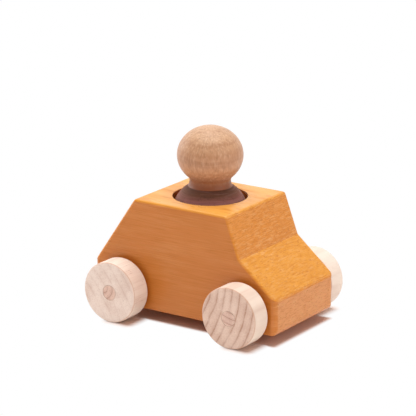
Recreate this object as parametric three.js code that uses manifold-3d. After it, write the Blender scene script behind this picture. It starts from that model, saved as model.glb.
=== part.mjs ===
// A wooden toy car with a peg-doll driver.
// The body is one solid block, sawn to a car's side outline, with a round seat sunk in its roof.
// The doll drops into the seat and lifts straight out: a stained body with a natural turned head glued on.
// Two dowel axles turn freely in holes drilled across the block, each with a disc wheel glued to both ends.
// Millimetres. +X points to the nose, +Y to the car's left, +Z up. The wheels stand on the plane z = 0.

import * as THREE from "three";
import { mergeVertices } from "three/addons/utils/BufferGeometryUtils.js";
import Module from "manifold-3d";

// Body block: the side outline's runs, from the tail forwards, and its rises, from the underside up
const BODY_WIDTH = 42;
const TAIL_SLOPE_RUN = 19;
const ROOF_LENGTH = 42.4;
const WINDSCREEN_RUN = 6.1;
const BONNET_RUN = 16.1;
const NOSE_HEIGHT = 14;
const BONNET_RISE = 13.5;
const WINDSCREEN_RISE = 16.1;
const TAIL_HEIGHT = 15.9;

// Sanded edges of the block: how round the sides' edges are, and how much rounder each outward corner is
const SIDE_EDGE_ROUND = 1.1;
const ROOF_EXTRA_ROUND = 0.6;
const NOSE_EXTRA_ROUND = 1;
const UNDERSIDE_EXTRA_ROUND = 1;
const TAIL_EXTRA_ROUND = 2;
const CREASE_ROUND = 0.4;
const UPRIGHT_CORNER_ROUND = 2.4;

// Seat in the roof
const SEAT_DIAMETER = 29;
const SEAT_DEPTH = 25;
const SEAT_RIM_CHAMFER = 0.2;

// Doll
const DOLL_SIDE_CLEARANCE = 1;
const DOLL_FLOOR_GAP = 0.1;
const DOLL_BODY_HEIGHT = 28.8;
const DOLL_BASE_CHAMFER = 0.8;
const SHOULDER_HEIGHT = 5.5;
const SHOULDER_CROWN = 0.6;
const NECK_BASE_DIAMETER = 17.4;
const NECK_DIAMETER = 16;
const NECK_LENGTH = 3.3;
const HEAD_DIAMETER = 25.6;
const HEAD_HEIGHT = 22.8;
const TENON_DIAMETER = 8;
const TENON_LENGTH = 10;

// Wheels and axles
const WHEEL_DIAMETER = 24;
const WHEEL_WIDTH = 9;
const WHEEL_EDGE_ROUND = 0.7;
const WHEEL_SIDE_PLAY = 1.7;
const AXLE_DIAMETER = 6;
const AXLE_END_CHAMFER = 0.3;
const AXLE_CLEARANCE = 0.3;
const AXLE_RISE = 7.9;
const REAR_AXLE_INSET = 14.7;
const FRONT_AXLE_INSET = 14;

// Glue line between pieces that are fixed to each other
const GLUE_GAP = 0.1;

// How far a cutter runs past the face that it cuts
const CUT_OVERRUN = 2;

// Facets of the round pieces, and steps along their curves and rounded edges
const ROUND_FACETS = 40;
const AXLE_FACETS = 24;
const BODY_EDGE_STEPS = 3;
const WHEEL_EDGE_STEPS = 2;
const DOLL_CURVE_STEPS = 6;

// Finishes: a clear orange stain, bare pale wood, bare wood that has darkened, and a dark plum stain
const ORANGE_STAIN = { color: "#dc9145", roughness: 0.55 };
const PALE_WOOD = { color: "#e6d2c0", roughness: 0.7 };
const DOWEL_WOOD = { color: "#d8b795", roughness: 0.7 };
const TAN_WOOD = { color: "#cf9d78", roughness: 0.65 };
const PLUM_STAIN = { color: "#68494a", roughness: 0.6 };

// Places that follow from the sizes
const bodyLength = TAIL_SLOPE_RUN + ROOF_LENGTH + WINDSCREEN_RUN + BONNET_RUN;
const bodyHeight = NOSE_HEIGHT + BONNET_RISE + WINDSCREEN_RISE;
const tailX = -bodyLength / 2;
const noseX = bodyLength / 2;
const axleZ = WHEEL_DIAMETER / 2;
const undersideZ = axleZ - AXLE_RISE;
const roofZ = undersideZ + bodyHeight;
const seatX = tailX + TAIL_SLOPE_RUN + ROOF_LENGTH / 2;
const seatFloorZ = roofZ - SEAT_DEPTH;
const dollBaseZ = seatFloorZ + DOLL_FLOOR_GAP;
const rearAxleX = tailX + REAR_AXLE_INSET;
const frontAxleX = noseX - FRONT_AXLE_INSET;
const wheelY = BODY_WIDTH / 2 + WHEEL_SIDE_PLAY + WHEEL_WIDTH / 2;
const axleLength = 2 * wheelY + WHEEL_WIDTH;

const wasm = await Module();
wasm.setup();

// A closed mesh as a solid that can be cut: only positions count, and slivers at a pole are dropped.
function toSolid(geometry) {
  const bare = geometry.clone();
  bare.deleteAttribute("normal");
  bare.deleteAttribute("uv");
  const merged = mergeVertices(bare);
  const corners = merged.index.array;
  const triangles = [];
  for (let i = 0; i < corners.length; i += 3) {
    const [a, b, c] = corners.slice(i, i + 3);
    if (a !== b && b !== c && c !== a) triangles.push(a, b, c);
  }
  return new wasm.Manifold(
    new wasm.Mesh({
      numProp: 3,
      vertProperties: new Float32Array(merged.attributes.position.array),
      triVerts: new Uint32Array(triangles),
    }),
  );
}

// A cut solid back as a three.js geometry.
function toGeometry(solid) {
  const mesh = solid.getMesh();
  const geometry = new THREE.BufferGeometry();
  geometry.setAttribute("position", new THREE.BufferAttribute(mesh.vertProperties, 3));
  geometry.setIndex(new THREE.BufferAttribute(mesh.triVerts, 1));
  geometry.computeVertexNormals();
  return geometry;
}

// A closed outline through corners given as x, y and rounding, with an arc at each that touches both sides.
function roundedOutline(corners) {
  const outline = new THREE.Shape();
  const points = corners.map(([x, y]) => new THREE.Vector2(x, y));
  points.forEach((corner, i) => {
    const round = corners[i][2];
    const back = points.at(i - 1).clone().sub(corner).normalize();
    const ahead = points[(i + 1) % points.length].clone().sub(corner).normalize();
    const halfAngle = Math.acos(back.dot(ahead)) / 2;
    const middle = back.clone().add(ahead).normalize();
    const centre = middle.multiplyScalar(round / Math.sin(halfAngle)).add(corner);
    const touch = round / Math.tan(halfAngle);
    const first = back.multiplyScalar(touch).add(corner).sub(centre);
    const last = ahead.multiplyScalar(touch).add(corner).sub(centre);
    const clockwise = first.cross(last) < 0;
    outline.absarc(centre.x, centre.y, round, first.angle(), last.angle(), clockwise);
  });
  outline.closePath();
  return outline;
}

// A turned shape over the seat: a profile of radius and height, with both ends on the axis, spun upright.
function turnedOverSeat(profile) {
  const points = profile.getPoints(DOLL_CURVE_STEPS);
  points.at(-1).x = 0;
  const geometry = new THREE.LatheGeometry(points, ROUND_FACETS);
  geometry.rotateX(Math.PI / 2);
  geometry.translate(seatX, 0, 0);
  return geometry;
}

// The side outline, counted from the underside's middle: x forwards, y up.
function sideOutline() {
  const roofStart = tailX + TAIL_SLOPE_RUN;
  const roofEnd = roofStart + ROOF_LENGTH;
  const roofRound = SIDE_EDGE_ROUND + ROOF_EXTRA_ROUND;
  const undersideRound = SIDE_EDGE_ROUND + UNDERSIDE_EXTRA_ROUND;
  return roundedOutline([
    [tailX, 0, undersideRound],
    [noseX, 0, undersideRound],
    [noseX, NOSE_HEIGHT, SIDE_EDGE_ROUND + NOSE_EXTRA_ROUND],
    [roofEnd + WINDSCREEN_RUN, NOSE_HEIGHT + BONNET_RISE, CREASE_ROUND],
    [roofEnd, bodyHeight, roofRound],
    [roofStart, bodyHeight, roofRound],
    [tailX, TAIL_HEIGHT, SIDE_EDGE_ROUND + TAIL_EXTRA_ROUND],
  ]);
}

// The plan outline only takes off the block's four upright corners.
function planOutline() {
  const half = BODY_WIDTH / 2;
  return roundedOutline([
    [tailX, -half, UPRIGHT_CORNER_ROUND],
    [noseX, -half, UPRIGHT_CORNER_ROUND],
    [noseX, half, UPRIGHT_CORNER_ROUND],
    [tailX, half, UPRIGHT_CORNER_ROUND],
  ]);
}

// The block: the side outline extruded across with rounded edges, its upright corners sanded rounder,
// then bored for the seat and drilled for the two axles.
function carBody() {
  const sawn = new THREE.ExtrudeGeometry(sideOutline(), {
    depth: BODY_WIDTH - 2 * SIDE_EDGE_ROUND,
    curveSegments: BODY_EDGE_STEPS,
    bevelThickness: SIDE_EDGE_ROUND,
    bevelSize: SIDE_EDGE_ROUND,
    bevelOffset: -SIDE_EDGE_ROUND,
    bevelSegments: BODY_EDGE_STEPS,
  });
  sawn.translate(0, 0, SIDE_EDGE_ROUND - BODY_WIDTH / 2);
  sawn.rotateX(Math.PI / 2);
  sawn.translate(0, 0, undersideZ);

  const plan = new THREE.ExtrudeGeometry(planOutline(), {
    depth: bodyHeight + 2 * CUT_OVERRUN,
    curveSegments: BODY_EDGE_STEPS,
    bevelEnabled: false,
  });
  plan.translate(0, 0, undersideZ - CUT_OVERRUN);

  const seatRadius = SEAT_DIAMETER / 2;
  const mouthRadius = seatRadius + SEAT_RIM_CHAMFER + CUT_OVERRUN;
  const seatProfile = new THREE.Path();
  seatProfile.moveTo(0, seatFloorZ);
  seatProfile.lineTo(seatRadius, seatFloorZ);
  seatProfile.lineTo(seatRadius, roofZ - SEAT_RIM_CHAMFER);
  seatProfile.lineTo(mouthRadius, roofZ + CUT_OVERRUN);
  seatProfile.lineTo(0, roofZ + CUT_OVERRUN);
  const seat = turnedOverSeat(seatProfile);

  let block = toSolid(sawn).intersect(toSolid(plan)).subtract(toSolid(seat));
  for (const x of [rearAxleX, frontAxleX]) {
    const holeRadius = AXLE_DIAMETER / 2 + AXLE_CLEARANCE;
    const hole = new THREE.CylinderGeometry(
      holeRadius,
      holeRadius,
      BODY_WIDTH + 2 * CUT_OVERRUN,
      AXLE_FACETS,
    );
    hole.translate(x, 0, axleZ);
    block = block.subtract(toSolid(hole));
  }
  return toGeometry(block);
}

// A dowel across the car, its ends flush with the wheels' outer faces and lightly chamfered.
function axle() {
  const radius = AXLE_DIAMETER / 2;
  const end = axleLength / 2;
  const profile = new THREE.Path();
  profile.moveTo(0, -end);
  profile.lineTo(radius - AXLE_END_CHAMFER, -end);
  profile.lineTo(radius, AXLE_END_CHAMFER - end);
  profile.lineTo(radius, end - AXLE_END_CHAMFER);
  profile.lineTo(radius - AXLE_END_CHAMFER, end);
  profile.lineTo(0, end);
  return new THREE.LatheGeometry(profile.getPoints(), AXLE_FACETS);
}

// A disc with a hole for the dowel and both rims rounded.
function wheel() {
  const hole = AXLE_DIAMETER / 2 + GLUE_GAP;
  const flat = WHEEL_DIAMETER / 2 - WHEEL_EDGE_ROUND;
  const face = WHEEL_WIDTH / 2;
  const tread = face - WHEEL_EDGE_ROUND;
  const profile = new THREE.Path();
  profile.moveTo(hole, -face);
  profile.lineTo(flat, -face);
  profile.absarc(flat, -tread, WHEEL_EDGE_ROUND, -Math.PI / 2, 0);
  profile.absarc(flat, tread, WHEEL_EDGE_ROUND, 0, Math.PI / 2);
  profile.lineTo(hole, face);
  profile.lineTo(hole, -face);
  return new THREE.LatheGeometry(profile.getPoints(WHEEL_EDGE_STEPS), ROUND_FACETS);
}

// The doll's stained body: a cylinder with a crowned shoulder and a blind hole for the head's tenon.
function dollBody() {
  const radius = SEAT_DIAMETER / 2 - DOLL_SIDE_CLEARANCE;
  const neck = NECK_BASE_DIAMETER / 2;
  const top = dollBaseZ + DOLL_BODY_HEIGHT;
  const shoulder = top - SHOULDER_HEIGHT;
  const slope = new THREE.Vector2(neck - radius, SHOULDER_HEIGHT);
  const outward = new THREE.Vector2(slope.y, -slope.x).normalize();
  const bulge = outward.multiplyScalar(2 * SHOULDER_CROWN);
  const hole = TENON_DIAMETER / 2 + GLUE_GAP;
  const holeFloor = top - TENON_LENGTH - GLUE_GAP;
  const profile = new THREE.Path();
  profile.moveTo(0, dollBaseZ);
  profile.lineTo(radius - DOLL_BASE_CHAMFER, dollBaseZ);
  profile.lineTo(radius, dollBaseZ + DOLL_BASE_CHAMFER);
  profile.lineTo(radius, shoulder);
  profile.quadraticCurveTo((radius + neck) / 2 + bulge.x, (shoulder + top) / 2 + bulge.y, neck, top);
  profile.lineTo(hole, top);
  profile.lineTo(hole, holeFloor);
  profile.lineTo(0, holeFloor);
  return turnedOverSeat(profile);
}

// The doll's head: a flattened ball on a waisted neck, with a tenon below that is glued into the body.
function dollHead() {
  const tenon = TENON_DIAMETER / 2;
  const neckBase = dollBaseZ + DOLL_BODY_HEIGHT + GLUE_GAP;
  const tenonEnd = neckBase - TENON_LENGTH;
  const neck = NECK_DIAMETER / 2;
  const headRadius = HEAD_DIAMETER / 2;
  const halfHeight = HEAD_HEIGHT / 2;
  const headStart = neckBase + NECK_LENGTH;
  const startAngle = -Math.acos(neck / headRadius);
  const headCentre = headStart - halfHeight * Math.sin(startAngle);
  const profile = new THREE.Path();
  profile.moveTo(0, tenonEnd);
  profile.lineTo(tenon, tenonEnd);
  profile.lineTo(tenon, neckBase);
  profile.lineTo(NECK_BASE_DIAMETER / 2, neckBase);
  profile.quadraticCurveTo(neck, neckBase + NECK_LENGTH / 2, neck, headStart);
  profile.absellipse(0, headCentre, headRadius, halfHeight, startAngle, Math.PI / 2);
  return turnedOverSeat(profile);
}

function piece(name, geometry, finish, x = 0, y = 0, z = 0) {
  const material = new THREE.MeshStandardMaterial({ ...finish, metalness: 0 });
  const mesh = new THREE.Mesh(geometry, material);
  mesh.name = name;
  mesh.position.set(x, y, z);
  return mesh;
}

const car = new THREE.Group();
car.add(piece("car_body", carBody(), ORANGE_STAIN));

for (const [end, x] of [["front", frontAxleX], ["rear", rearAxleX]]) {
  car.add(piece(`${end}_axle`, axle(), DOWEL_WOOD, x, 0, axleZ));
  for (const [side, sign] of [["left", 1], ["right", -1]]) {
    const name = `${end}_${side}_wheel`;
    car.add(piece(name, wheel(), PALE_WOOD, x, sign * wheelY, axleZ));
  }
}

car.add(piece("doll_body", dollBody(), PLUM_STAIN));
car.add(piece("doll_head", dollHead(), TAN_WOOD));

export default car;
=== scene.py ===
"""A wooden toy car with a peg-doll driver: the look of each piece, in metres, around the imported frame."""

import math

import bmesh
import bpy
from mathutils import Euler, Matrix, Vector


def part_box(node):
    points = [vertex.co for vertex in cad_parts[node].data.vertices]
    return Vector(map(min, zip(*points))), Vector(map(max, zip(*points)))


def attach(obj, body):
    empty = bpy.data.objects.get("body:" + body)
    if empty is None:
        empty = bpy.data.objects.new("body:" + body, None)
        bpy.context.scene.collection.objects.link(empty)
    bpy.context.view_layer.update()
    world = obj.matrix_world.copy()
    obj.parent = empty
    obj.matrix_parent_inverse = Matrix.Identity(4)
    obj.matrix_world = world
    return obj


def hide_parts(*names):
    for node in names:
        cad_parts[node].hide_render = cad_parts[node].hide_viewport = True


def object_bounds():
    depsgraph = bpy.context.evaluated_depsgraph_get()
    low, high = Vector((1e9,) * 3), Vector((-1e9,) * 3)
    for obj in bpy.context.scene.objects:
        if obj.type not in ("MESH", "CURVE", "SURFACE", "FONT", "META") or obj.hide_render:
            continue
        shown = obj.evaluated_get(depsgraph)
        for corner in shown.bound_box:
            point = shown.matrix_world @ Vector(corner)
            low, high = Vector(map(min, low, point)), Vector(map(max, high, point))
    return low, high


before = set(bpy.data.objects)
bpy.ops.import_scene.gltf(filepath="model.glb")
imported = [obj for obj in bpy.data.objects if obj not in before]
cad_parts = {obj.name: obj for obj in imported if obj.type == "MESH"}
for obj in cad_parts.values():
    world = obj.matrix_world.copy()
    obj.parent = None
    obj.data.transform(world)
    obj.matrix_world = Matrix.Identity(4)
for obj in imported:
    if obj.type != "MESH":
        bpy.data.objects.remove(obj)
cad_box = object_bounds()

# Body block
# One piece of close-grained hardwood, sawn to a car's side outline and sanded round at every edge, then dyed
# with an orange stain that lets the grain show. A flat-bottomed hole bored in the roof is the driver's seat,
# and two holes drilled across the block carry the axles.

body_low, body_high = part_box("car_body")
TAIL_SLOPE_RUN = 0.019
ROOF_LENGTH = 0.0424
WINDSCREEN_RUN = 0.0061
NOSE_HEIGHT = 0.014
BONNET_RISE = 0.0135
TAIL_HEIGHT = 0.0159
roof_back_x = body_low.x + TAIL_SLOPE_RUN
roof_front_x = roof_back_x + ROOF_LENGTH
crease_x = roof_front_x + WINDSCREEN_RUN
nose_top_z = body_low.z + NOSE_HEIGHT
crease_z = nose_top_z + BONNET_RISE
tail_top_z = body_low.z + TAIL_HEIGHT

# The side outline, from the tail's foot round by the nose and roof: x, z and how round that cross edge is
FOOT_ROUND = 0.0021
NOSE_TOP_ROUND = 0.0023
ROOF_FRONT_ROUND = 0.0015
ROOF_BACK_ROUND = 0.0017
TAIL_TOP_ROUND = 0.0032
BODY_OUTLINE = [
    (body_low.x, body_low.z, FOOT_ROUND),
    (body_high.x, body_low.z, FOOT_ROUND),
    (body_high.x, nose_top_z, NOSE_TOP_ROUND),
    (crease_x, crease_z, 0),
    (roof_front_x, body_high.z, ROOF_FRONT_ROUND),
    (roof_back_x, body_high.z, ROOF_BACK_ROUND),
    (body_low.x, tail_top_z, TAIL_TOP_ROUND),
]
NOSE_FOOT, TAIL_TOP = 1, 6
SIDE_EDGE_ROUND = 0.0011
UPRIGHT_EDGE_ROUND = 0.0024
EDGE_STEPS = 8
SHARP_ANGLE = math.radians(24)

SEAT_X = (roof_back_x + roof_front_x) / 2
SEAT_RADIUS = 0.0145
SEAT_DEPTH = 0.025
SEAT_LIP_ROUND = 0.00035
SEAT_LIP_STEPS = 5
DARKER_LIP_SHARE = 0.25
SEAT_FACETS = 160
AXLE_HOLE_RADIUS = 0.0033
AXLE_HOLE_CHAMFER = 0.0004
AXLE_FACETS = 64
CUT_OVERRUN = 0.002


def add_node(tree, kind, inputs, **options):
    """Adds a node, sets its options, and sets each input to a value or links it to another node's socket."""
    made = tree.nodes.new(kind)
    for option, value in options.items():
        setattr(made, option, value)
    for name, value in inputs.items():
        if isinstance(value, bpy.types.NodeSocket):
            tree.links.new(value, made.inputs[name])
        else:
            made.inputs[name].default_value = value
    return made


def new_tree(name, sockets):
    """An empty geometry tree with a mesh in and out, and one input for each label, of the kind it maps to."""
    tree = bpy.data.node_groups.new(name, "GeometryNodeTree")
    tree.interface.new_socket("Geometry", in_out="INPUT", socket_type="NodeSocketGeometry")
    tree.interface.new_socket("Geometry", in_out="OUTPUT", socket_type="NodeSocketGeometry")
    for label, kind in sockets.items():
        tree.interface.new_socket(label, in_out="INPUT", socket_type="NodeSocket" + kind)
    return tree


def end_tree(tree, geometry, finish):
    """Closes a geometry tree: the surface is shaded smooth, made real and given its finish."""
    smooth = add_node(tree, "GeometryNodeSetShadeSmooth", {"Geometry": geometry})
    whole = add_node(tree, "GeometryNodeRealizeInstances", {"Geometry": smooth.outputs[0]})
    coated = {"Geometry": whole.outputs[0], "Material": finish}
    finished = add_node(tree, "GeometryNodeSetMaterial", coated)
    add_node(tree, "NodeGroupOutput", {"Geometry": finished.outputs[0]})


def placed(name, data):
    """A new object of a mesh, a lamp or a camera, in the scene."""
    made = bpy.data.objects.new(name, data)
    bpy.context.scene.collection.objects.link(made)
    return made


def baked(thing, name):
    """What the modifiers make of a thing, as a plain mesh object in its stead."""
    plain = bpy.data.meshes.new_from_object(thing.evaluated_get(bpy.context.evaluated_depsgraph_get()))
    spent = thing.data
    bpy.data.objects.remove(thing)
    bpy.data.meshes.remove(spent)
    plain.name = name
    return placed(name, plain)


def grown(name, mesh, tree, values):
    """Runs a geometry tree on a mesh with the given inputs and keeps the result as a plain mesh object."""
    seed = placed(name + "_seed", mesh)
    modifier = seed.modifiers.new(tree.name, "NODES")
    modifier.node_group = tree
    for socket in tree.interface.items_tree:
        if socket.in_out == "INPUT" and socket.name in values:
            modifier[socket.identifier] = values[socket.name]
    return baked(seed, name)


SPINDLE_RADIUS = 0.001
WELD_DISTANCE = 1e-6


def turning_tree():
    """A lathe: the mesh is a profile of radius (x) and height (y), which is spun about the upright axis."""
    tree = new_tree("Turned on a lathe", {"Facets": "Int", "Finish": "Material"})
    given = add_node(tree, "NodeGroupInput", {}).outputs
    circle = {"Resolution": given["Facets"], "Radius": SPINDLE_RADIUS}
    path = add_node(tree, "GeometryNodeCurvePrimitiveCircle", circle)
    profile = add_node(tree, "GeometryNodeMeshToCurve", {"Mesh": given["Geometry"]})
    to_axis = {"Geometry": profile.outputs[0], "Translation": (-SPINDLE_RADIUS, 0, 0)}
    centred = add_node(tree, "GeometryNodeTransform", to_axis)
    sweep = {"Curve": path.outputs[0], "Profile Curve": centred.outputs[0]}
    spun = add_node(tree, "GeometryNodeCurveToMesh", sweep)
    half_turn = {"Geometry": spun.outputs[0], "Rotation": (math.pi, 0, 0)}
    upright = add_node(tree, "GeometryNodeTransform", half_turn)
    weld = {"Geometry": upright.outputs[0], "Distance": WELD_DISTANCE}
    welded = add_node(tree, "GeometryNodeMergeByDistance", weld)
    end_tree(tree, welded.outputs[0], given["Finish"])
    return tree


lathe = turning_tree()


def turned(name, profile, facets, finish=None):
    """A turned piece: the profile's points, from the foot up, spun about the upright axis at the origin."""
    outline = bpy.data.meshes.new(name + "_profile")
    steps = [(i, i + 1) for i in range(len(profile) - 1)]
    outline.from_pydata([(radius, height, 0) for radius, height in profile], steps, [])
    piece = grown(name, outline, lathe, {"Facets": facets, "Finish": finish})
    turn_outwards(piece.data)
    return piece


def smooth_rounds(mesh):
    """Shades the round stretches smooth and keeps the real corners crisp."""
    mesh.shade_smooth()
    mesh.set_sharp_from_angle(angle=SHARP_ANGLE)


def turn_outwards(mesh):
    """Turns every face outwards, then shades the mesh."""
    work = bmesh.new()
    work.from_mesh(mesh)
    bmesh.ops.recalc_face_normals(work, faces=work.faces)
    work.to_mesh(mesh)
    work.free()
    smooth_rounds(mesh)


def arc(centre, radii, start, end, steps):
    """Points on part of an ellipse, with the angles in degrees."""
    found = []
    for i in range(steps + 1):
        angle = math.radians(start + (end - start) * i / steps)
        found.append((centre[0] + radii[0] * math.cos(angle), centre[1] + radii[1] * math.sin(angle)))
    return found


def mirrored(half_profile):
    """A profile that is alike below and above the origin, from its upper half."""
    return [(radius, -height) for radius, height in half_profile[::-1]] + half_profile


def laid_across(piece, centre):
    """Lays a piece that was made upright across the car, with its middle at the centre."""
    piece.data.transform(Matrix.Rotation(math.pi / 2, 4, "X"))
    piece.data.transform(Matrix.Translation(centre))


def sawn_block():
    """The outline as a prism across the car, with a bevel weight on each edge that sets how round it is."""
    work = bmesh.new()
    weights = work.edges.layers.float.new("bevel_weight_edge")
    right = [work.verts.new((x, body_low.y, z)) for x, z, _ in BODY_OUTLINE]
    left = [work.verts.new((x, body_high.y, z)) for x, z, _ in BODY_OUTLINE]
    work.faces.new(right)
    work.faces.new(left[::-1])
    corners = [Vector((x, z)) for x, z, _ in BODY_OUTLINE]
    for i in range(len(corners)):
        j = (i + 1) % len(corners)
        work.faces.new((right[j], right[i], left[i], left[j]))
    bmesh.ops.recalc_face_normals(work, faces=work.faces)
    for i, (_, _, cross_round) in enumerate(BODY_OUTLINE):
        j = (i + 1) % len(corners)
        turn = (corners[i] - corners[i - 1]).angle(corners[j] - corners[i])
        setback = cross_round * math.tan(turn / 2)
        work.edges.get((right[i], left[i]))[weights] = setback / UPRIGHT_EDGE_ROUND
        side_round = UPRIGHT_EDGE_ROUND if i in (NOSE_FOOT, TAIL_TOP) else SIDE_EDGE_ROUND
        for row in (right, left):
            work.edges.get((row[i], row[j]))[weights] = side_round / UPRIGHT_EDGE_ROUND
    mesh = bpy.data.meshes.new("sawn_block")
    work.to_mesh(mesh)
    work.free()
    return placed("sawn_block", mesh)


def bored(block, cutters):
    """The block with its edges rounded and each cutter taken out of it."""
    rounding = block.modifiers.new("Sanded edges", "BEVEL")
    rounding.limit_method = "WEIGHT"
    rounding.width = UPRIGHT_EDGE_ROUND
    rounding.segments = EDGE_STEPS
    for cutter in cutters:
        cut = block.modifiers.new("Bored", "BOOLEAN")
        cut.object = cutter
        cut.solver = "EXACT"
    piece = baked(block, "body_block")
    for cutter in cutters:
        bpy.data.objects.remove(cutter)
    smooth_rounds(piece.data)
    return piece


def seat_cutter():
    """What the seat's drill takes out: a flat-ended cylinder that widens round at the lip."""
    lip_centre = (SEAT_RADIUS + SEAT_LIP_ROUND, body_high.z - SEAT_LIP_ROUND)
    lip = arc(lip_centre, (SEAT_LIP_ROUND, SEAT_LIP_ROUND), 180, 90, SEAT_LIP_STEPS)
    floor_z = body_high.z - SEAT_DEPTH
    top_z = body_high.z + CUT_OVERRUN
    profile = [(0, floor_z), (SEAT_RADIUS, floor_z), *lip, (lip[-1][0], top_z), (0, top_z)]
    cutter = turned("seat_cutter", profile, SEAT_FACETS)
    cutter.data.transform(Matrix.Translation((SEAT_X, 0, 0)))
    return cutter


def axle_hole_cutter(node):
    """What an axle's drill takes out: a cylinder across the block that widens at both faces."""
    low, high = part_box(node)
    half = (body_high.y - body_low.y) / 2
    upper = [
        (AXLE_HOLE_RADIUS, half - AXLE_HOLE_CHAMFER),
        (AXLE_HOLE_RADIUS + AXLE_HOLE_CHAMFER + CUT_OVERRUN, half + CUT_OVERRUN),
        (0, half + CUT_OVERRUN),
    ]
    cutter = turned(node + "_hole_cutter", mirrored(upper), AXLE_FACETS)
    laid_across(cutter, (low + high) / 2)
    return cutter


def crisp_flats(piece):
    """Lets each large flat face keep its own normal, so that only the rounded edges shade round."""
    weighting = piece.modifiers.new("Flat faces stay flat", "WEIGHTED_NORMAL")
    weighting.keep_sharp = True
    return baked(piece, piece.name)


def mark_seat_wall(mesh):
    """Marks the faces inside the bored seat, which the finish colours darker."""
    marks = mesh.attributes.new("seat_wall", "FLOAT", "FACE")
    bored_reach = SEAT_RADIUS + SEAT_LIP_ROUND * DARKER_LIP_SHARE
    for face, mark in zip(mesh.polygons, marks.data):
        corners = [mesh.vertices[i].co for i in face.vertices]
        in_bore = all(math.hypot(corner.x - SEAT_X, corner.y) < bored_reach for corner in corners)
        mark.value = float(in_bore)


drills = [seat_cutter(), axle_hole_cutter("front_axle"), axle_hole_cutter("rear_axle")]
body_block = crisp_flats(bored(sawn_block(), drills))
mark_seat_wall(body_block.data)


def shade(code):
    """A colour written as on a screen, such as d9a066, in the linear values that a shader takes."""
    parts = [int(code[i:i + 2], 16) / 255 for i in (0, 2, 4)]
    return [c / 12.92 if c <= 0.04045 else ((c + 0.055) / 1.055) ** 2.4 for c in parts] + [1]


def new_finish(name):
    """A material whose node tree is still empty."""
    finish = bpy.data.materials.new(name)
    finish.use_nodes = True
    finish.node_tree.nodes.clear()
    return finish


def maths(tree, operation, first, second=0.0):
    """One step of arithmetic on two values or sockets."""
    return add_node(tree, "ShaderNodeMath", {0: first, 1: second}, operation=operation).outputs[0]


def vector_maths(tree, operation, first, second=(0, 0, 0)):
    """One step of arithmetic on two vectors or sockets. A length comes back as a plain value."""
    made = add_node(tree, "ShaderNodeVectorMath", {0: first, 1: second}, operation=operation)
    return made.outputs["Value" if operation == "LENGTH" else "Vector"]


def part_of(tree, vector, axis):
    """One of a vector's three parts: 0 for x, 1 for y, 2 for z."""
    return add_node(tree, "ShaderNodeSeparateXYZ", {0: vector}).outputs[axis]


def blend_colour(tree, amount, under, over):
    """The colour under where the amount is 0, and the colour over it where the amount is 1."""
    colours = {0: amount, 6: under, 7: over}
    return add_node(tree, "ShaderNodeMix", colours, data_type="RGBA", clamp_factor=True).outputs[2]


def rescaled(tree, value, limits, low=0.0, high=1.0):
    """Eases a value that runs between two limits into one from low to high."""
    ends = {"From Min": limits[0], "From Max": limits[1], "To Min": low, "To Max": high}
    ranged = {"Value": value, **ends}
    return add_node(tree, "ShaderNodeMapRange", ranged, interpolation_type="SMOOTHSTEP").outputs[0]


def ramp(tree, value, stops):
    """A colour for a value from 0 to 1, blended between stops of a position and a colour."""
    made = add_node(tree, "ShaderNodeValToRGB", {"Fac": value})
    elements = made.color_ramp.elements
    elements.remove(elements[1])
    elements[0].position, elements[0].color = stops[0]
    for position, colour in stops[1:]:
        elements.new(position).color = colour
    return made.outputs[0]


def level_ramp(tree, value, levels):
    """A grey for a value from 0 to 1, blended between a position and a level."""
    return ramp(tree, value, [(position, (level, level, level, 1)) for position, level in levels])


def speckle(tree, place, size, detail):
    """Soft noise round 0.5, in blobs of about the given size in millimetres along each axis of the wood."""
    stretched = vector_maths(tree, "DIVIDE", place, size)
    noise = {"Vector": stretched, "Scale": 1.0, "Detail": detail}
    return add_node(tree, "ShaderNodeTexNoise", noise).outputs


# How a log grows: how long its bends are, how each year darkens to its end, and where years are fainter
BEND_SIZE = (90, 14, 14)
SOFT_DETAIL = 2.0
YEAR_LEVELS = ((0.0, 0.45), (0.10, 0.12), (0.45, 0.0), (0.78, 0.3), (0.93, 1.0), (1.0, 0.55))
FADING_SIZE = (60, 7, 7)
FADING_LIMITS = (0.3, 0.65)
FAINTEST_YEAR = 0.35
MIDDLE_GREY = (0.5, 0.5, 0.5)


def bent(tree, place, amount):
    """The place in the log, shifted a little to and fro, as no tree grows quite straight."""
    drift = vector_maths(tree, "SUBTRACT", speckle(tree, place, BEND_SIZE, SOFT_DETAIL)["Color"], MIDDLE_GREY)
    return vector_maths(tree, "ADD", place, vector_maths(tree, "MULTIPLY", drift, (amount, amount, amount)))


def year_rings(tree, place, pitch):
    """0 in the pale early wood, rising to 1 at the dark line that ends each year, with some years fainter."""
    from_heart = vector_maths(tree, "LENGTH", vector_maths(tree, "MULTIPLY", place, (0, 1, 1)))
    share_of_year = maths(tree, "FRACT", maths(tree, "DIVIDE", from_heart, pitch))
    line = level_ramp(tree, share_of_year, YEAR_LEVELS)
    patches = speckle(tree, place, FADING_SIZE, SOFT_DETAIL)["Fac"]
    return maths(tree, "MULTIPLY", line, rescaled(tree, patches, FADING_LIMITS, FAINTEST_YEAR))


# How the marks come out of their noise, and how they shape the surface
SIDE_TO_END_GRAIN = (0.3, 0.95)
TONE_LIMITS = (0.4, 0.7)
FIBRE_DETAIL = 3.0
DARK_FIBRE_LIMITS = (0.5, 0.7)
PALE_FIBRE_LIMITS = (0.5, 0.3)
FIBRE_LIMITS = (0.3, 0.7)
FLECK_DETAIL = 1.0
RIM_LEVELS = ((0.25, 0.0), (0.6, 0.8), (0.97, 0.0))
ROUGHNESS_SPREAD = 0.06
RELIEF_DEPTH = 0.0001
NO_FUZZ = (0.0, "ffffff")
MILLIMETRES = (1000, 1000, 1000)


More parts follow.
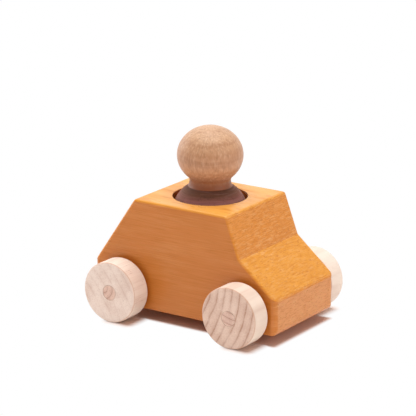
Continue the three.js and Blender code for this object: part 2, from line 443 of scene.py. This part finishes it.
def wood(name, heart, fibres, look):
    """A wood finish. heart is a point on the log's heart, in millimetres in the car's frame, and fibres is
    the turn that lays the fibres along x. look holds colours, the sizes of the marks in millimetres along
    and across the fibres, and each mark's strength, which look["calm"] weakens away from the end grain."""
    finish = new_finish(name)
    tree = finish.node_tree
    source = add_node(tree, "ShaderNodeTexCoord", {}).outputs
    shift = -(fibres.to_matrix() @ Vector(heart))
    to_log = {"Vector": source["Object"], "Location": shift, "Rotation": fibres, "Scale": MILLIMETRES}
    straight = add_node(tree, "ShaderNodeMapping", to_log).outputs[0]
    place = bent(tree, straight, look["waviness"])

    # Which way the surface faces: 1 across the fibres at a sawn end, 0 along them
    turned_normal = {"Vector": source["Normal"], "Rotation": fibres}
    facing = add_node(tree, "ShaderNodeMapping", turned_normal, vector_type="VECTOR").outputs[0]
    end_grain = maths(tree, "ABSOLUTE", part_of(tree, facing, 0))
    figure = rescaled(tree, end_grain, SIDE_TO_END_GRAIN, look["calm"])

    def figured(marks, strength):
        """The marks at their full strength on end grain, and calmer along the fibres."""
        return maths(tree, "MULTIPLY", maths(tree, "MULTIPLY", marks, figure), strength)

    # The colour that the marks lie on, by the tilt of the surface and at a sawn end. Where the colours by
    # tilt differ, they are painted light and shade: lighter or darker as light falls on each tilt
    upward = part_of(tree, source["Normal"], 2)
    colour = ramp(tree, upward, [(tilt, shade(code)) for tilt, code in look["by_tilt"]])
    end_limits, end_code = look["end"]
    colour = blend_colour(tree, rescaled(tree, end_grain, end_limits), colour, shade(end_code))

    # The marks, from the wide changes of tone to the fine fibres
    dark, light = shade(look["dark"]), shade(look["light"])
    tone = speckle(tree, place, look["tone_size"], SOFT_DETAIL)["Fac"]
    colour = blend_colour(tree, rescaled(tree, tone, TONE_LIMITS, 0.0, look["tone"]), colour, dark)
    rings = year_rings(tree, place, look["ring_pitch"])
    colour = blend_colour(tree, figured(rings, look["rings"]), colour, dark)
    fibre = speckle(tree, straight, look["fibre_size"], FIBRE_DETAIL)["Fac"]
    streaks = rescaled(tree, fibre, DARK_FIBRE_LIMITS)
    colour = blend_colour(tree, figured(streaks, look["fibres"]), colour, dark)
    # Pale fibres, partly the wood's own and partly painted glints that stand in for a varying sheen on the
    # surface
    pale_fibres_and_painted_glints = rescaled(tree, fibre, PALE_FIBRE_LIMITS)
    colour = blend_colour(tree, figured(pale_fibres_and_painted_glints, look["fibres"]), colour, light)

    # Darker towards the lower of two heights: partly stain crept up from the foot, and partly painted shade
    # where a part above shades it
    if "creep_and_painted_shade" in look:
        low_z, high_z, code = look["creep_and_painted_shade"]
        creep_and_painted_shade = rescaled(tree, part_of(tree, source["Object"], 2), (high_z, low_z))
        colour = blend_colour(tree, creep_and_painted_shade, colour, shade(code))

    # The flecks, which show through the crept stain and painted shade
    spots = speckle(tree, straight, look["fleck_size"], FLECK_DETAIL)["Fac"]
    flecks = figured(rescaled(tree, spots, look["fleck_limits"]), look["flecks"])
    colour = blend_colour(tree, flecks, colour, shade(look["fleck"]))

    # Darker where a mark on the mesh says so
    if "darker_where_marked" in look:
        attribute, code = look["darker_where_marked"]
        darker_where_marked = add_node(tree, "ShaderNodeAttribute", {}, attribute_name=attribute).outputs["Fac"]
        colour = blend_colour(tree, darker_where_marked, colour, shade(code))

    # The wood is a little darker on the rounded rim between an end and a side
    if "rim" in look:
        colour = blend_colour(tree, level_ramp(tree, end_grain, RIM_LEVELS), colour, shade(look["rim"]))

    # Fibres stand up a little and are rougher than the wood between them, and flecks are pits
    height = maths(tree, "SUBTRACT", fibre, flecks)
    bump = {"Height": height, "Strength": look["relief"], "Distance": RELIEF_DEPTH}
    smoothest = look["roughness"] - ROUGHNESS_SPREAD
    roughest = look["roughness"] + ROUGHNESS_SPREAD
    fuzz, fuzz_code = look.get("fuzz", NO_FUZZ)
    coat = {
        "Base Color": colour,
        "Roughness": rescaled(tree, fibre, FIBRE_LIMITS, smoothest, roughest),
        "Specular IOR Level": look["gloss"],
        "Sheen Weight": fuzz,
        "Sheen Tint": shade(fuzz_code),
        "Normal": add_node(tree, "ShaderNodeBump", bump).outputs[0],
    }
    surface = add_node(tree, "ShaderNodeBsdfPrincipled", coat)
    add_node(tree, "ShaderNodeOutputMaterial", {"Surface": surface.outputs[0]})
    return finish


ORANGE_STAIN = {
    # Painted light and shade by tilt: the roof is painted lighter and paler than the sides, with the bonnet
    # and windscreen between
    "by_tilt": [(0.0, "d17b31"), (0.25, "d88328"), (0.77, "dd9226"), (1.0, "f0a84c")],
    "end": ((0.95, 1.0), "da8c49"),
    "darker_where_marked": ("seat_wall", "b2661f"),
    "dark": "bc6a00",
    "light": "f0b87c",
    "fleck": "ba6800",
    "calm": 0.52,
    "tone_size": (24.0, 12.0, 9.0),
    "tone": 0.16,
    "ring_pitch": 2.4,
    "waviness": 5.0,
    "rings": 0.16,
    "fibre_size": (18.0, 4.0, 0.3),
    "fibres": 0.46,
    "fleck_size": (8.0, 1.7, 0.26),
    "fleck_limits": (0.58, 0.70),
    "flecks": 0.7,
    "relief": 0.12,
    "roughness": 0.32,
    "gloss": 0.4,
}
BODY_HEART = (0, -6, -70)
FIBRES_ALONG_X = Euler((0, 0, 0))
orange_stain = wood("orange_stained_wood", BODY_HEART, FIBRES_ALONG_X, ORANGE_STAIN)
body_block.data.materials.clear()
body_block.data.materials.append(orange_stain)
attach(body_block, "car_body")
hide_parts("car_body")

# Axles
# Two lengths of plain birch dowel that turn freely in the block's holes. Their ends are sawn flush with the
# wheels' outer faces and their corners are just broken with sandpaper.

DOWEL_END_CHAMFER = 0.00012
SAWN_END = (0.5, 0.9)
DOWEL_WOOD = {
    "by_tilt": [(0.0, "f4e3d4")],
    "end": (SAWN_END, "eccbba"),
    "dark": "a35f45",
    "light": "f6e2d6",
    "fleck": "96593f",
    "calm": 1.0,
    "tone_size": (30.0, 4.0, 4.0),
    "tone": 0.25,
    "ring_pitch": 2.3,
    "waviness": 0.8,
    "rings": 0.6,
    "fibre_size": (8.0, 0.3, 0.3),
    "fibres": 0.25,
    "fleck_size": (4.0, 0.5, 0.5),
    "fleck_limits": (0.62, 0.74),
    "flecks": 0.4,
    "relief": 0.2,
    "roughness": 0.65,
    "gloss": 0.3,
}
FIBRES_ALONG_Y = Euler((0, 0, -math.pi / 2))


def beside(centre, heart):
    """A point of the log's heart, given in millimetres along x and z from a piece's centre."""
    return centre * 1000 + Vector((heart[0], 0, heart[1]))


def dowel(node, heart, **changes):
    """One axle, in the place of its node, cut from a log whose heart lies beside it."""
    low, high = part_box(node)
    centre = (low + high) / 2
    radius = (high.x - low.x) / 2
    half = (high.y - low.y) / 2
    end = [(radius, half - DOWEL_END_CHAMFER), (radius - DOWEL_END_CHAMFER, half), (0, half)]
    finish = wood(node + "_wood", beside(centre, heart), FIBRES_ALONG_Y, {**DOWEL_WOOD, **changes})
    piece = turned(node + "_dowel", mirrored(end), AXLE_FACETS, finish)
    laid_across(piece, centre)
    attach(piece, node.replace("axle", "wheelset"))
    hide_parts(node)


dowel("front_axle", (3.6, 13.5))
dowel("rear_axle", (-3, 1.5), end=(SAWN_END, "ebc9b8"))

# Wheels
# Four discs of bare pale maple, cut across a thick round bar so that the year rings run over their faces,
# with both rims sanded round. Each is drilled for its dowel and glued on, flush with the dowel's end.

WHEEL_HOLE_RADIUS = 0.00305
WHEEL_EDGE_ROUND = 0.0007
WHEEL_HOLE_ROUND = 0.00008
WHEEL_FACETS = 128
WHEEL_ROUND_STEPS = 5
PALE_WOOD = {
    "by_tilt": [(0.0, "f2dfd0")],
    "end": (SAWN_END, "f2dccd"),
    "dark": "b0765a",
    "light": "faece2",
    "fleck": "a37b67",
    "rim": "cc9a7e",
    "calm": 0.2,
    "tone_size": (30.0, 7.0, 7.0),
    "tone": 0.2,
    "ring_pitch": 3.3,
    "waviness": 2.4,
    "rings": 0.6,
    "fibre_size": (10.0, 0.5, 0.5),
    "fibres": 0.15,
    "fleck_size": (3.0, 0.5, 0.5),
    "fleck_limits": (0.66, 0.76),
    "flecks": 0.35,
    "relief": 0.15,
    "roughness": 0.62,
    "gloss": 0.25,
}


def wheel_tree():
    """A disc wheel: a rectangle with rounded corners, swept round the upright axis."""
    sizes = dict.fromkeys(("Radius", "Width", "Hole Radius", "Rim Round", "Hole Round"), "Float")
    tree = new_tree("Disc wheel", {**sizes, "Facets": "Int", "Round Steps": "Int", "Finish": "Material"})
    given = add_node(tree, "NodeGroupInput", {}).outputs
    wall = maths(tree, "SUBTRACT", given["Radius"], given["Hole Radius"])
    middle = maths(tree, "MULTIPLY", maths(tree, "ADD", given["Radius"], given["Hole Radius"]), 0.5)
    flat = {"Width": wall, "Height": given["Width"]}
    section = add_node(tree, "GeometryNodeCurvePrimitiveQuadrilateral", flat)

    # The two corners of the section that lie outwards are the rims, and the other two are the hole's edges
    outward = part_of(tree, add_node(tree, "GeometryNodeInputPosition", {}).outputs[0], 0)
    is_rim = maths(tree, "GREATER_THAN", outward, 0.0)
    either = {0: is_rim, 2: given["Hole Round"], 3: given["Rim Round"]}
    rounding = add_node(tree, "ShaderNodeMix", either, data_type="FLOAT").outputs[0]
    corners = {"Curve": section.outputs[0], "Count": given["Round Steps"], "Radius": rounding}
    rounded = add_node(tree, "GeometryNodeFilletCurve", corners, mode="POLY")

    circle = {"Resolution": given["Facets"], "Radius": middle}
    path = add_node(tree, "GeometryNodeCurvePrimitiveCircle", circle)
    sweep = {"Curve": path.outputs[0], "Profile Curve": rounded.outputs[0]}
    swept = add_node(tree, "GeometryNodeCurveToMesh", sweep)
    end_tree(tree, swept.outputs[0], given["Finish"])
    return tree


disc_wheel = wheel_tree()


def wheel(node, heart, **changes):
    """One wheel, in the place of its node, cut from a log whose heart lies beside it."""
    low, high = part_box(node)
    centre = (low + high) / 2
    sizes = {
        "Radius": (high.x - low.x) / 2,
        "Width": high.y - low.y,
        "Hole Radius": WHEEL_HOLE_RADIUS,
        "Rim Round": WHEEL_EDGE_ROUND,
        "Hole Round": WHEEL_HOLE_ROUND,
        "Facets": WHEEL_FACETS,
        "Round Steps": WHEEL_ROUND_STEPS,
        "Finish": wood(node + "_wood", beside(centre, heart), FIBRES_ALONG_Y, {**PALE_WOOD, **changes}),
    }
    disc = grown(node + "_disc", bpy.data.meshes.new(node), disc_wheel, sizes)
    turn_outwards(disc.data)
    piece = crisp_flats(disc)
    laid_across(piece, centre)
    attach(piece, node.split("_")[0] + "_wheelset")
    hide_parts(node)


FRONT_RIGHT_END = (SAWN_END, "eed0be")
REAR_RIGHT_END = (SAWN_END, "f7e2d5")
wheel("front_right_wheel", (-47, 16), rings=0.8, end=FRONT_RIGHT_END, by_tilt=[(0.0, "edd7c6")])
wheel("rear_right_wheel", (-38, -26), rings=0.2, calm=1.0, end=REAR_RIGHT_END, by_tilt=[(0.0, "f5e3d5")])
wheel("front_left_wheel", (45, 20), rings=0.3)
wheel("rear_left_wheel", (-30, 34), rings=0.45)

# Doll body
# A turned peg that drops into the seat with a little room all round. Its foot is broken with sandpaper, its
# shoulder is crowned, a hole in its top takes the head's tenon, and it is dipped in a dark plum stain.

doll_low, doll_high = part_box("doll_body")
head_low, head_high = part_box("doll_head")
DOLL_RADIUS = (doll_high.x - doll_low.x) / 2
DOLL_FACETS = 128
DOLL_FOOT_CHAMFER = 0.0008
SHOULDER_HEIGHT = 0.0055
SHOULDER_CROWN = 0.0006
SHOULDER_STEPS = 16
NECK_BASE_RADIUS = 0.0087
TENON_RADIUS = 0.004
GLUE_GAP = 0.0001
PLUM_STAIN = {
    # Painted light by tilt: the lower, steeper shoulder is painted lighter, and towards the flat top by the
    # neck the colour turns dark brown
    "by_tilt": [(0.2, "7f5048"), (0.44, "98655d"), (0.58, "824e46"), (0.72, "5b341f"), (0.86, "532e18")],
    "end": ((0.97, 1.0), "5c351f"),
    "dark": "3c211a",
    "light": "8a6260",
    "fleck": "331c16",
    "calm": 0.35,
    "tone_size": (20.0, 8.0, 8.0),
    "tone": 0.3,
    "ring_pitch": 2.2,
    "waviness": 2.0,
    "rings": 0.4,
    "fibre_size": (0.45, 9.0, 9.0),
    "fibres": 0.45,
    "fleck_size": (3.0, 0.6, 0.6),
    "fleck_limits": (0.60, 0.72),
    "flecks": 0.5,
    "relief": 0.15,
    "roughness": 0.65,
    "gloss": 0.2,
    "fuzz": (0.5, "f0b8a4"),
}
DOLL_BODY_HEART = (-20, 30, 0)
FIBRES_UPRIGHT = Euler((0, math.pi / 2, 0))


def smooth_bend(start, corner, end, steps):
    """Points on the curve that leaves start towards corner and comes into end from it."""
    found = []
    for i in range(steps + 1):
        share = i / steps
        found.append(tuple(start * (1 - share) ** 2 + corner * 2 * share * (1 - share) + end * share ** 2))
    return found


def doll_body_profile():
    """From the foot up: the foot, the wall, the shoulder bowed out by its crown, and the tenon's hole."""
    foot = [
        (0, doll_low.z),
        (DOLL_RADIUS - DOLL_FOOT_CHAMFER, doll_low.z),
        (DOLL_RADIUS, doll_low.z + DOLL_FOOT_CHAMFER),
    ]
    wall_top = Vector((DOLL_RADIUS, doll_high.z - SHOULDER_HEIGHT))
    neck_edge = Vector((NECK_BASE_RADIUS, doll_high.z))
    along = neck_edge - wall_top
    bow = Vector((along.y, -along.x)).normalized() * 2 * SHOULDER_CROWN
    shoulder = smooth_bend(wall_top, (wall_top + neck_edge) / 2 + bow, neck_edge, SHOULDER_STEPS)
    hole_radius = TENON_RADIUS + GLUE_GAP
    hole_floor_z = head_low.z - GLUE_GAP
    hole = [(hole_radius, doll_high.z), (hole_radius, hole_floor_z), (0, hole_floor_z)]
    return [*foot, *shoulder, *hole]


plum_stain = wood("plum_stained_wood", DOLL_BODY_HEART, FIBRES_UPRIGHT, PLUM_STAIN)
doll_body = turned("doll_peg", doll_body_profile(), DOLL_FACETS, plum_stain)
doll_body.data.transform(Matrix.Translation((SEAT_X, 0, 0)))
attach(doll_body, "doll")
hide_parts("doll_body")

# Doll head
# A flattened ball on a waisted neck, turned from one piece of bare tan wood with its fibres upright. Its
# tenon is glued into the peg, and a fine shadow line shows under the neck's rim.

NECK_RADIUS = 0.008
NECK_WAIST_HEIGHT = 0.0024
NECK_STEPS = 10
HOLLOW_STEPS = 8
CREEP_AND_SHADE_HEIGHT = 0.0066
HEAD_RADIUS = 0.0128
HEAD_HALF_HEIGHT = 0.0114
BALL_START_ANGLE = -45
BALL_STEPS = 48
TAN_WOOD = {
    # Painted light by tilt: the top of the ball is painted lighter, and a band just above its widest a little
    # darker
    "by_tilt": [(0.0, "c9946f"), (0.25, "bd8862"), (0.6, "c89973"), (1.0, "cca27e")],
    "end": ((0.8, 1.0), "d5ab88"),
    "dark": "9c633c",
    "light": "e6c0a2",
    "fleck": "80502f",
    # The neck is painted darker and more orange up to a height over the peg: partly stain crept up from it,
    # and partly painted shade under the ball
    "creep_and_painted_shade": (doll_high.z, doll_high.z + CREEP_AND_SHADE_HEIGHT, "8c4a20"),
    "calm": 0.7,
    "tone_size": (2.6, 40.0, 40.0),
    "tone": 0.45,
    "ring_pitch": 2.8,
    "waviness": 4.0,
    "rings": 0.34,
    "fibre_size": (2.6, 0.7, 0.7),
    "fibres": 0.35,
    "fleck_size": (2.6, 0.8, 0.8),
    "fleck_limits": (0.54, 0.74),
    "flecks": 0.32,
    "relief": 0.15,
    "roughness": 0.45,
    "gloss": 0.4,
    "fuzz": (0.25, "ffe4d6"),
}
DOLL_HEAD_HEART = (-34, 50, 0)


def head_profile():
    """From the tenon's end up: the tenon, the flared neck, the hollow over its waist and the ball."""
    neck_base = doll_high.z + GLUE_GAP
    tenon = [(0, head_low.z), (TENON_RADIUS, head_low.z), (TENON_RADIUS, neck_base)]
    waist = Vector((NECK_RADIUS, neck_base + NECK_WAIST_HEIGHT))
    flare = (NECK_BASE_RADIUS - NECK_RADIUS, NECK_WAIST_HEIGHT)
    neck = arc((NECK_BASE_RADIUS, waist.y), flare, 270, 180, NECK_STEPS)
    ball_centre = (0, head_high.z - HEAD_HALF_HEIGHT)
    ball = arc(ball_centre, (HEAD_RADIUS, HEAD_HALF_HEIGHT), BALL_START_ANGLE, 90, BALL_STEPS)
    ball_foot = Vector(ball[0])
    ball_slope = HEAD_HALF_HEIGHT / HEAD_RADIUS / math.tan(math.radians(-BALL_START_ANGLE))
    corner = Vector((NECK_RADIUS, ball_foot.y - (ball_foot.x - NECK_RADIUS) * ball_slope))
    hollow = smooth_bend(waist, corner, ball_foot, HOLLOW_STEPS)
    return [*tenon, *neck, *hollow[1:], *ball[1:-1], (0, head_high.z)]


tan_wood = wood("tan_wood", DOLL_HEAD_HEART, FIBRES_UPRIGHT, TAN_WOOD)
doll_head = turned("doll_ball_head", head_profile(), DOLL_FACETS, tan_wood)
doll_head.data.transform(Matrix.Translation((SEAT_X, 0, 0)))
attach(doll_head, "doll")
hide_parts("doll_head")

# Floor and light
# A plain white floor that keeps the car's shadow and turns pure white a little way off, its kept shadow made
# warmer and darker to the camera by a painted shadow tint, one wide soft box straight above, a weaker window
# to the left and right, and an even white room.

WHITE = (1, 1, 1, 1)
FLOOR_PAPER = (0.94, 0.91, 0.89, 1)
PAINTED_SHADOW_PAPER = (0.86, 0.62, 0.52, 1)
FLOOR_HALF = 4.0
BODY_SHADOW_INSET = 0.0016
BODY_SHADOW_FADE = 0.0025
WHEEL_SHADOW_INSET = 0.002
WHEEL_SHADOW_REACH = 0.007
WHEEL_SHADOW_FADE = 0.005
ROOM_LIGHT = 0.43
LAMP_COLOUR = (1, 0.99, 0.97)
LAMP_TARGET = Vector((0, 0, 0.03))


def to_lens_or_mirror(tree):
    """1 for what the camera sees directly, in a reflection or through glass."""
    path = add_node(tree, "ShaderNodeLightPath", {}).outputs
    either = maths(tree, "MAXIMUM", path["Is Camera Ray"], path["Is Glossy Ray"])
    return maths(tree, "MAXIMUM", either, path["Is Transmission Ray"])


def outside(tree, place, low, high):
    """How far a place lies outside a box in the view from above, and 0 under or over the box."""
    offset = vector_maths(tree, "ABSOLUTE", vector_maths(tree, "SUBTRACT", place, (low + high) / 2))
    over = vector_maths(tree, "MAXIMUM", vector_maths(tree, "SUBTRACT", offset, (high - low) / 2))
    return vector_maths(tree, "LENGTH", vector_maths(tree, "MULTIPLY", over, (1, 1, 0)))


def floor_paper():
    """Paper that shows the shadow under the block and beside the wheels, darkened and warmed there by a
    painted shadow tint that only the camera and reflections see, and pure white elsewhere.
    """
    finish = new_finish("floor_paper")
    tree = finish.node_tree
    place = add_node(tree, "ShaderNodeTexCoord", {}).outputs["Object"]
    to_lens = to_lens_or_mirror(tree)
    inset = Vector((BODY_SHADOW_INSET, BODY_SHADOW_INSET, 0))
    past_block = outside(tree, place, body_low + inset, body_high - inset)
    bare = rescaled(tree, past_block, (0.0, BODY_SHADOW_FADE))
    for node in ("front_axle", "rear_axle"):
        low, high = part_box(node)
        foot_x = (low.x + high.x) / 2
        near = Vector((foot_x, low.y + WHEEL_SHADOW_INSET, low.z))
        far = Vector((foot_x + WHEEL_SHADOW_REACH, high.y - WHEEL_SHADOW_INSET, high.z))
        past_wheels = rescaled(tree, outside(tree, place, near, far), (0.0, WHEEL_SHADOW_FADE))
        bare = maths(tree, "MINIMUM", bare, past_wheels)
    seen_bare = maths(tree, "MULTIPLY", bare, to_lens)
    # Painted shadow: to the camera and in reflections the paper is darker and warmer, so the kept shadow
    # looks deeper and browner
    paper_with_painted_shadow = blend_colour(tree, to_lens, FLOOR_PAPER, PAINTED_SHADOW_PAPER)
    paper = add_node(tree, "ShaderNodeBsdfDiffuse", {"Color": paper_with_painted_shadow})
    white = add_node(tree, "ShaderNodeEmission", {"Color": WHITE, "Strength": 1.0})
    layers = {0: seen_bare, 1: paper.outputs[0], 2: white.outputs[0]}
    mixed = add_node(tree, "ShaderNodeMixShader", layers)
    add_node(tree, "ShaderNodeOutputMaterial", {"Surface": mixed.outputs[0]})
    return finish


floor_mesh = bpy.data.meshes.new("floor")
floor_signs = [(-1, -1), (1, -1), (1, 1), (-1, 1)]
floor_corners = [(x * FLOOR_HALF, y * FLOOR_HALF, cad_box[0].z) for x, y in floor_signs]
floor_mesh.from_pydata(floor_corners, [], [(0, 1, 2, 3)])
floor_mesh.materials.append(floor_paper())
floor = placed("floor", floor_mesh)

world = bpy.data.worlds.new("white_room")
world.use_nodes = True
bpy.context.scene.world = world
room = world.node_tree
room.nodes.clear()
lit = add_node(room, "ShaderNodeBackground", {"Color": WHITE, "Strength": ROOM_LIGHT})
seen = add_node(room, "ShaderNodeBackground", {"Color": WHITE, "Strength": 1.0})
rooms = {0: to_lens_or_mirror(room), 1: lit.outputs[0], 2: seen.outputs[0]}
chosen = add_node(room, "ShaderNodeMixShader", rooms)
add_node(room, "ShaderNodeOutputWorld", {"Surface": chosen.outputs[0]})


def soft_lamp(name, size, watts, place):
    """A square soft light that looks at the middle of the car."""
    lamp = bpy.data.lights.new(name, "AREA")
    lamp.size = size
    lamp.energy = watts
    lamp.color = LAMP_COLOUR
    holder = placed(name, lamp)
    holder.location = place
    holder.rotation_euler = (LAMP_TARGET - holder.location).to_track_quat("-Z", "Y").to_euler()


soft_lamp("soft_box", size=0.9, watts=8.8, place=(-0.02, 0.04, 0.95))
soft_lamp("right_window", size=0.7, watts=2.0, place=(1.0, -0.1, 0.4))
soft_lamp("left_window", size=0.7, watts=3.4, place=(-1.0, 0.02, 0.36))

# Camera
# A long lens at the photograph's angle, a little above the car and to the front of its right side.

CAMERA_AZIMUTH = math.radians(34.03)
CAMERA_ELEVATION = math.radians(16.41)
CAMERA_DISTANCE = 0.91994
CAMERA_TARGET = Vector((-0.00263, 0, 0.04233))
SENSOR_WIDTH = 36.0
LENS_PIXELS = 2380.64
PICTURE_PIXELS = 416

towards_camera = Vector((
    math.sin(CAMERA_AZIMUTH) * math.cos(CAMERA_ELEVATION),
    -math.cos(CAMERA_AZIMUTH) * math.cos(CAMERA_ELEVATION),
    math.sin(CAMERA_ELEVATION),
))
lens = bpy.data.cameras.new("camera")
lens.sensor_width = SENSOR_WIDTH
lens.lens = SENSOR_WIDTH * LENS_PIXELS / PICTURE_PIXELS
camera = placed("camera", lens)
camera.location = CAMERA_TARGET + towards_camera * CAMERA_DISTANCE
camera.rotation_euler = (-towards_camera).to_track_quat("-Z", "Y").to_euler()
bpy.context.scene.camera = camera
bpy.context.scene.view_settings.view_transform = "Standard"
